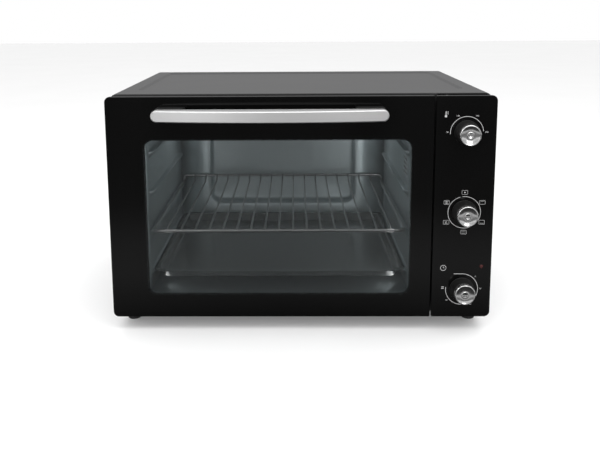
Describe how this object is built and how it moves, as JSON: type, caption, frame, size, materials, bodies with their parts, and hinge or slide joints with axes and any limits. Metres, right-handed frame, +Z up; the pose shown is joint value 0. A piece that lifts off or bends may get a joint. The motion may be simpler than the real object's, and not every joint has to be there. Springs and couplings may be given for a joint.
{
  "type": "toaster oven",
  "caption": "Bench-top toaster oven with a drop-down glass door, bowed bar handle, side control panel with knobs, and a cavity with heaters, wire rack and tray.",
  "frame": {"origin": "under the middle of the oven's overall box, on the surface that its feet stand on", "axes": "+X to the user's right along the front, +Y from the door to the back, +Z up"},
  "size_m": [0.55, 0.451, 0.3465],
  "materials": {
    "casing_paint": "satin dark grey powder coat",
    "galvanised_steel": "galvanised sheet",
    "frame_enamel": "satin black enamel",
    "cavity_steel": "dull aluminised sheet",
    "plated_steel": "zinc plated",
    "spring_steel": "oiled",
    "rack_chrome": "bright plated wire",
    "tray_enamel": "glossy dark enamel",
    "heater_steel": "heat-darkened tube",
    "ceramic": "unglazed",
    "foot_rubber": "matte",
    "black_plastic": "fine texture",
    "wire_cover": "braided sleeve",
    "copper": "drawn tube",
    "bright_cap": "satin chrome",
    "handle_metal": "brushed",
    "black_glass": "black printed, with a clear window in the door",
    "clear_glass": "clear",
    "lamp_red": "translucent"
  },
  "bodies": {
    "chassis": {"base_plate": "galvanised_steel", "case_screws": "plated_steel", "cavity_back_wall": "cavity_steel", "cavity_ceiling": "cavity_steel", "cavity_floor": "cavity_steel", "cavity_left_wall": "cavity_steel", "cavity_right_wall": "cavity_steel", "control_bracket": "galvanised_steel", "control_panel_glass": "black_glass", "cord_inlet_bush": "black_plastic", "door_spring_left": "spring_steel", "door_spring_right": "spring_steel", "foot_front_left": "foot_rubber", "foot_front_right": "foot_rubber", "foot_rear_left": "foot_rubber", "foot_rear_right": "foot_rubber", "front_frame": "frame_enamel", "function_switch": "black_plastic", "heat_shield": "galvanised_steel", "heater_insulators": "ceramic", "hinge_bracket_left": "plated_steel", "hinge_bracket_right": "plated_steel", "internal_wiring": "wire_cover", "lower_heater_front": "heater_steel", "lower_heater_rear": "heater_steel", "outer_cover": "casing_paint", "power_lamp_lens": "lamp_red", "power_lamp_neon": "clear_glass", "rear_cover": "casing_paint", "terminal_block": "black_plastic", "thermostat_body": "black_plastic", "thermostat_bulb": "copper", "timer_bell": "plated_steel", "timer_body": "black_plastic", "upper_heater_front": "heater_steel", "upper_heater_rear": "heater_steel", "wall_spacers": "black_plastic"},
    "door": {"door_outer_glass": "black_glass", "door_inner_frame": "frame_enamel", "door_inner_glass": "clear_glass", "inner_glass_clips": "plated_steel", "handle_bar": "handle_metal", "handle_block_left": "black_plastic", "handle_block_right": "black_plastic", "handle_screws": "plated_steel", "stay_left": "plated_steel", "stay_right": "plated_steel", "hinge_pin_left": "plated_steel", "hinge_pin_right": "plated_steel"},
    "temperature_control": {"temperature_knob": "black_plastic", "temperature_knob_cap": "bright_cap", "temperature_shaft": "plated_steel"},
    "function_control": {"function_knob": "black_plastic", "function_knob_cap": "bright_cap", "function_shaft": "plated_steel"},
    "timer_control": {"timer_knob": "black_plastic", "timer_knob_cap": "bright_cap", "timer_shaft": "plated_steel"},
    "rack": {"wire_rack": "rack_chrome"},
    "tray": {"baking_tray": "tray_enamel"}
  },
  "joints": [
    {"name": "door_hinge", "type": "hinge", "parent": "chassis", "child": "door", "pos_m": [0, -0.1655, 0.028], "axis": [1, 0, 0], "range_deg": [0, 82], "stiffness_Nm_per_rad": 2, "springref_deg": -34.38},
    {"name": "temperature_turn", "type": "hinge", "parent": "chassis", "child": "temperature_control", "pos_m": [0.2333, -0.1755, 0.2922], "axis": [0, 1, 0], "range_deg": [0, 180]},
    {"name": "function_turn", "type": "hinge", "parent": "chassis", "child": "function_control", "pos_m": [0.2333, -0.1755, 0.1772], "axis": [0, 1, 0], "range_deg": [0, 300]},
    {"name": "timer_turn", "type": "hinge", "parent": "chassis", "child": "timer_control", "pos_m": [0.2333, -0.1755, 0.0622], "axis": [0, 1, 0], "range_deg": [0, 270]},
    {"name": "rack_slide", "type": "slide", "parent": "chassis", "child": "rack", "axis": [0, -1, 0], "range_m": [0, 0.172]},
    {"name": "tray_slide", "type": "slide", "parent": "chassis", "child": "tray", "axis": [0, -1, 0], "range_m": [0, 0.086]}
  ],
  "couplings": [
    {"joint": "rack_slide", "follows": "door_hinge", "m_per_rad": 0.12},
    {"joint": "tray_slide", "follows": "door_hinge", "m_per_rad": 0.06}
  ]
}
